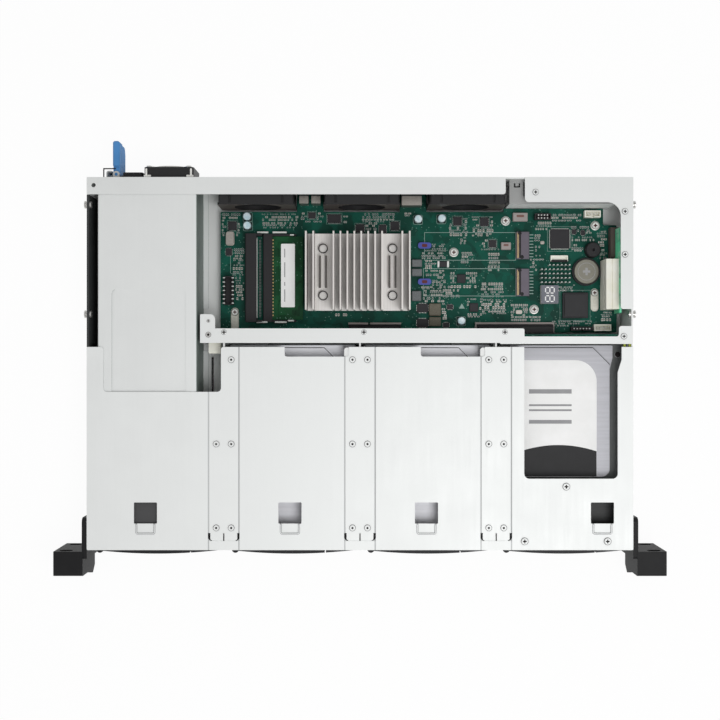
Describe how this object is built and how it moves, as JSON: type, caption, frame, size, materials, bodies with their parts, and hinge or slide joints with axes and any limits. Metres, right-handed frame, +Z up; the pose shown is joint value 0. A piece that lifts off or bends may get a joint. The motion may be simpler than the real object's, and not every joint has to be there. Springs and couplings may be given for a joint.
{
  "type": "rackmount storage server",
  "caption": "Short-depth rackmount storage server with its rear lid off, showing slide-out drive trays with pull levers, a pull-out power supply, fans, main board and rack ears.",
  "frame": {"origin": "middle of the underside of the chassis", "axes": "+X to the right seen from the front, +Y towards the rear panel, +Z up"},
  "size_m": [0.4826, 0.347, 0.0436],
  "materials": {
    "zinc_sheet": "satin galvanised sheet",
    "plain_steel": "satin",
    "ear_black": "fine grain black",
    "bezel_black": "fine grain black",
    "button_grey": "satin black",
    "drive_metal": "dark casting under a pale stamped cover",
    "board_green": "solder mask",
    "riser_green": "solder mask",
    "fin_aluminium": "brushed extrusion",
    "fan_black": "moulded",
    "rotor_black": "moulded",
    "socket_black": "moulded",
    "chip_black": "moulded epoxy",
    "pale_plastic": "moulded nylon",
    "cell_steel": "satin",
    "can_aluminium": "satin",
    "coil_grey": "pressed ferrite",
    "supply_case": "satin sheet",
    "inlet_black": "moulded",
    "latch_blue": "moulded",
    "display_black": "smooth",
    "power_black": "smooth"
  },
  "bodies": {
    "chassis": {"base_tray": "zinc_sheet", "rear_panel": "zinc_sheet", "drive_cage_cover": "zinc_sheet", "bay_dividers": "zinc_sheet", "crossbar": "zinc_sheet", "corner_plate": "zinc_sheet", "backplane_bracket": "zinc_sheet", "slot_cage": "zinc_sheet", "psu_cage": "zinc_sheet", "rail_studs": "plain_steel", "rack_ear_left": "ear_black", "rack_ear_right": "ear_black", "mainboard": "board_green", "backplane": "board_green", "memory_module": "board_green", "riser_card": "riser_green", "board_spacers": "plain_steel", "heatsink": "fin_aluminium", "heatsink_pins": "pale_plastic", "memory_sockets": "socket_black", "card_sockets": "socket_black", "coin_cell": "cell_steel", "buzzer": "socket_black", "capacitors": "can_aluminium", "inductors": "coil_grey", "chips": "chip_black", "segment_display": "display_black", "board_connectors": "socket_black", "white_connectors": "pale_plastic", "io_ports": "plain_steel", "dock_sockets": "socket_black", "fan_frame_1": "fan_black", "fan_frame_2": "fan_black", "fan_frame_3": "fan_black"},
    "supply": {"psu_case": "supply_case", "psu_inlet": "inlet_black", "psu_fan_frame": "fan_black", "psu_fan_guard": "plain_steel"},
    "supply_latch": {"psu_latch": "latch_blue"},
    "supply_fan": {"psu_fan_rotor": "rotor_black"},
    "power_key": {"power_button": "power_black"},
    "fan_1": {"fan_rotor_1": "rotor_black"},
    "fan_2": {"fan_rotor_2": "rotor_black"},
    "fan_3": {"fan_rotor_3": "rotor_black"},
    "carrier_1": {"tray_1": "bezel_black"},
    "pull_1": {"lever_1": "bezel_black"},
    "release_1": {"button_1": "button_grey"},
    "carrier_2": {"tray_2": "bezel_black", "drive_2": "drive_metal"},
    "pull_2": {"lever_2": "bezel_black"},
    "release_2": {"button_2": "button_grey"},
    "carrier_3": {"tray_3": "bezel_black", "drive_3": "drive_metal"},
    "pull_3": {"lever_3": "bezel_black"},
    "release_3": {"button_3": "button_grey"},
    "carrier_4": {"tray_4": "bezel_black", "drive_4": "drive_metal"},
    "pull_4": {"lever_4": "bezel_black"},
    "release_4": {"button_4": "button_grey"}
  },
  "joints": [
    {"name": "tray_slide_1", "type": "slide", "parent": "chassis", "child": "carrier_1", "axis": [0, -1, 0], "range_m": [0, 0.1]},
    {"name": "lever_swing_1", "type": "hinge", "parent": "carrier_1", "child": "pull_1", "pos_m": [-0.2058, -0.14695, 0.0225], "axis": [0, 0, -1], "range_deg": [0, 65]},
    {"name": "button_press_1", "type": "slide", "parent": "carrier_1", "child": "release_1", "axis": [0, 1, 0], "range_m": [0, 0.0018], "stiffness_N_per_m": 800, "springref_m": -0.0005},
    {"name": "tray_slide_2", "type": "slide", "parent": "chassis", "child": "carrier_2", "axis": [0, -1, 0], "range_m": [0, 0.16]},
    {"name": "lever_swing_2", "type": "hinge", "parent": "carrier_2", "child": "pull_2", "pos_m": [-0.0986, -0.14695, 0.0225], "axis": [0, 0, -1], "range_deg": [0, 65]},
    {"name": "button_press_2", "type": "slide", "parent": "carrier_2", "child": "release_2", "axis": [0, 1, 0], "range_m": [0, 0.0018], "stiffness_N_per_m": 800, "springref_m": -0.0005},
    {"name": "tray_slide_3", "type": "slide", "parent": "chassis", "child": "carrier_3", "axis": [0, -1, 0], "range_m": [0, 0.16]},
    {"name": "lever_swing_3", "type": "hinge", "parent": "carrier_3", "child": "pull_3", "pos_m": [0.0086, -0.14695, 0.0225], "axis": [0, 0, -1], "range_deg": [0, 65]},
    {"name": "button_press_3", "type": "slide", "parent": "carrier_3", "child": "release_3", "axis": [0, 1, 0], "range_m": [0, 0.0018], "stiffness_N_per_m": 800, "springref_m": -0.0005},
    {"name": "tray_slide_4", "type": "slide", "parent": "chassis", "child": "carrier_4", "axis": [0, -1, 0], "range_m": [0, 0.16]},
    {"name": "lever_swing_4", "type": "hinge", "parent": "carrier_4", "child": "pull_4", "pos_m": [0.1158, -0.14695, 0.0225], "axis": [0, 0, -1], "range_deg": [0, 65]},
    {"name": "button_press_4", "type": "slide", "parent": "carrier_4", "child": "release_4", "axis": [0, 1, 0], "range_m": [0, 0.0018], "stiffness_N_per_m": 800, "springref_m": -0.0005},
    {"name": "fan_spin_1", "type": "hinge", "parent": "chassis", "child": "fan_1", "pos_m": [-0.0822, 0.135, 0.0212], "axis": [0, 1, 0], "continuous": true},
    {"name": "fan_spin_2", "type": "hinge", "parent": "chassis", "child": "fan_2", "pos_m": [0.0014, 0.135, 0.0212], "axis": [0, 1, 0], "continuous": true},
    {"name": "fan_spin_3", "type": "hinge", "parent": "chassis", "child": "fan_3", "pos_m": [0.085, 0.135, 0.0212], "axis": [0, 1, 0], "continuous": true},
    {"name": "supply_slide", "type": "slide", "parent": "chassis", "child": "supply", "axis": [0, 1, 0], "range_m": [0, 0.165]},
    {"name": "supply_latch_press", "type": "hinge", "parent": "supply", "child": "supply_latch", "pos_m": [-0.1938, 0.15045, 0.0207], "axis": [0, 0, -1], "range_deg": [0, 8], "stiffness_Nm_per_rad": 0.3, "springref_deg": -2.86},
    {"name": "supply_fan_spin", "type": "hinge", "parent": "supply", "child": "supply_fan", "pos_m": [-0.1512, 0.145, 0.0207], "axis": [0, 1, 0], "continuous": true},
    {"name": "power_press", "type": "slide", "parent": "chassis", "child": "power_key", "axis": [0, 1, 0], "range_m": [0, 0.0012], "stiffness_N_per_m": 600, "springref_m": -0.0005}
  ]
}
